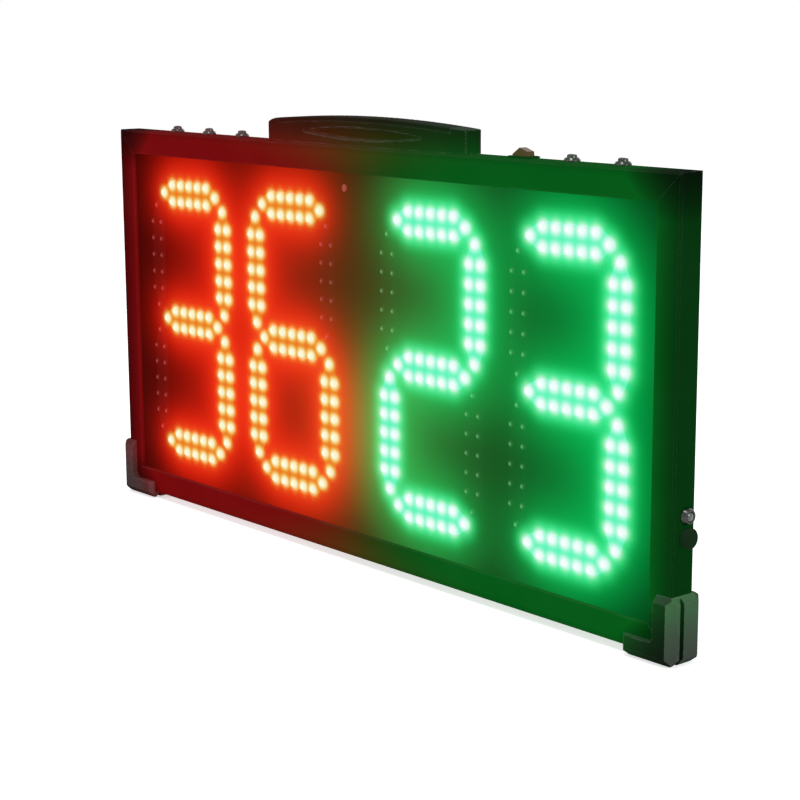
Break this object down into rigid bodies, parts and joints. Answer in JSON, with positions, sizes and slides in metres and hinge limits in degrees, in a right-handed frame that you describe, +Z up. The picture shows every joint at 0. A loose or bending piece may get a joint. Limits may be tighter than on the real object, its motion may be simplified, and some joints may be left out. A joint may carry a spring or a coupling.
{
  "type": "electronic substitution board",
  "caption": "Handheld sports substitution board: seven-segment lamp digits in a mitred metal frame with a top carry handle, push buttons and corner feet.",
  "frame": {"origin": "middle of the footprint, on the floor under the corner guards; y = 0 is the frame's mid-depth", "axes": "+X to the right as the digits are read, +Y from the display towards the back, +Z up"},
  "size_m": [0.673, 0.033, 0.3553],
  "materials": {
    "frame_black": "satin black powder coat",
    "mask_black": "fine matt black sheet",
    "segment_lens": "smoked segment bars with water-clear lamps",
    "smoked_dome": "polished smoked dome",
    "panel_grey": "dark grey coated sheet",
    "key_aluminium": "bare mill finish",
    "screw_steel": "zinc-plated steel",
    "handle_plastic": "black moulded plastic with a fine grain",
    "grip_rubber": "soft matt black rubber",
    "button_chrome": "bright plated metal",
    "switch_plastic": "black moulded switch plastic",
    "rocker_orange": "orange-brown moulded plastic",
    "indicator_lens": "tinted clear dome",
    "cap_rubber": "matt black rubber",
    "guard_plastic": "tough dark plastic, slightly shiny on its edges",
    "circuit_green": "green solder mask",
    "battery_wrap": "blue shrink wrap",
    "lead_grey": "grey sleeved lead"
  },
  "bodies": {
    "board": {"frame_top": "frame_black", "frame_right": "frame_black", "frame_bottom": "frame_black", "frame_left": "frame_black", "corner_key_top_left": "key_aluminium", "corner_key_top_right": "key_aluminium", "corner_key_bottom_left": "key_aluminium", "corner_key_bottom_right": "key_aluminium", "mask_panel": "mask_black", "digit_1": "segment_lens", "digit_2": "segment_lens", "digit_3": "segment_lens", "digit_4": "segment_lens", "remote_receiver": "smoked_dome", "handle_body": "handle_plastic", "handle_grip": "grip_rubber", "handle_screw_left": "screw_steel", "handle_screw_right": "screw_steel", "button_1_body": "button_chrome", "button_2_body": "button_chrome", "button_3_body": "button_chrome", "button_4_body": "button_chrome", "button_5_body": "button_chrome", "rocker_housing": "switch_plastic", "indicator_bezel": "button_chrome", "indicator_lens": "indicator_lens", "charge_socket": "switch_plastic", "guard_left": "guard_plastic", "guard_right": "guard_plastic", "guard_screw_left_1": "screw_steel", "guard_screw_left_2": "screw_steel", "guard_screw_right_1": "screw_steel", "guard_screw_right_2": "screw_steel", "back_panel": "panel_grey", "back_screw_1": "screw_steel", "back_screw_2": "screw_steel", "back_screw_3": "screw_steel", "back_screw_4": "screw_steel", "back_screw_5": "screw_steel", "back_screw_6": "screw_steel", "back_screw_7": "screw_steel", "back_screw_8": "screw_steel", "control_board": "circuit_green", "battery_pack": "battery_wrap", "battery_clamp": "key_aluminium", "ribbon_left": "lead_grey", "ribbon_right": "lead_grey", "battery_lead": "lead_grey", "charge_lead": "lead_grey", "indicator_lead": "lead_grey", "switch_loom": "lead_grey"},
    "button_1": {"button_1_cap": "button_chrome"},
    "button_2": {"button_2_cap": "button_chrome"},
    "button_3": {"button_3_cap": "button_chrome"},
    "button_4": {"button_4_cap": "button_chrome"},
    "button_5": {"button_5_cap": "button_chrome"},
    "rocker_lever": {"rocker": "rocker_orange"},
    "socket_cap": {"dust_cap": "cap_rubber"}
  },
  "joints": [
    {"name": "button_1_press", "type": "slide", "parent": "board", "child": "button_1", "axis": [0, 0, -1], "range_m": [0, 0.0015], "stiffness_N_per_m": 1500, "springref_m": -0.0005},
    {"name": "button_2_press", "type": "slide", "parent": "board", "child": "button_2", "axis": [0, 0, -1], "range_m": [0, 0.0015], "stiffness_N_per_m": 1500, "springref_m": -0.0005},
    {"name": "button_3_press", "type": "slide", "parent": "board", "child": "button_3", "axis": [0, 0, -1], "range_m": [0, 0.0015], "stiffness_N_per_m": 1500, "springref_m": -0.0005},
    {"name": "button_4_press", "type": "slide", "parent": "board", "child": "button_4", "axis": [0, 0, -1], "range_m": [0, 0.0015], "stiffness_N_per_m": 1500, "springref_m": -0.0005},
    {"name": "button_5_press", "type": "slide", "parent": "board", "child": "button_5", "axis": [0, 0, -1], "range_m": [0, 0.0015], "stiffness_N_per_m": 1500, "springref_m": -0.0005},
    {"name": "rocker_tip", "type": "hinge", "parent": "board", "child": "rocker_lever", "pos_m": [0.173, 0.002, 0.3335], "axis": [0, 1, 0], "range_deg": [0, 16]},
    {"name": "dust_cap_pull", "type": "slide", "parent": "board", "child": "socket_cap", "axis": [1, 0, 0], "range_m": [0, 0.014]}
  ]
}
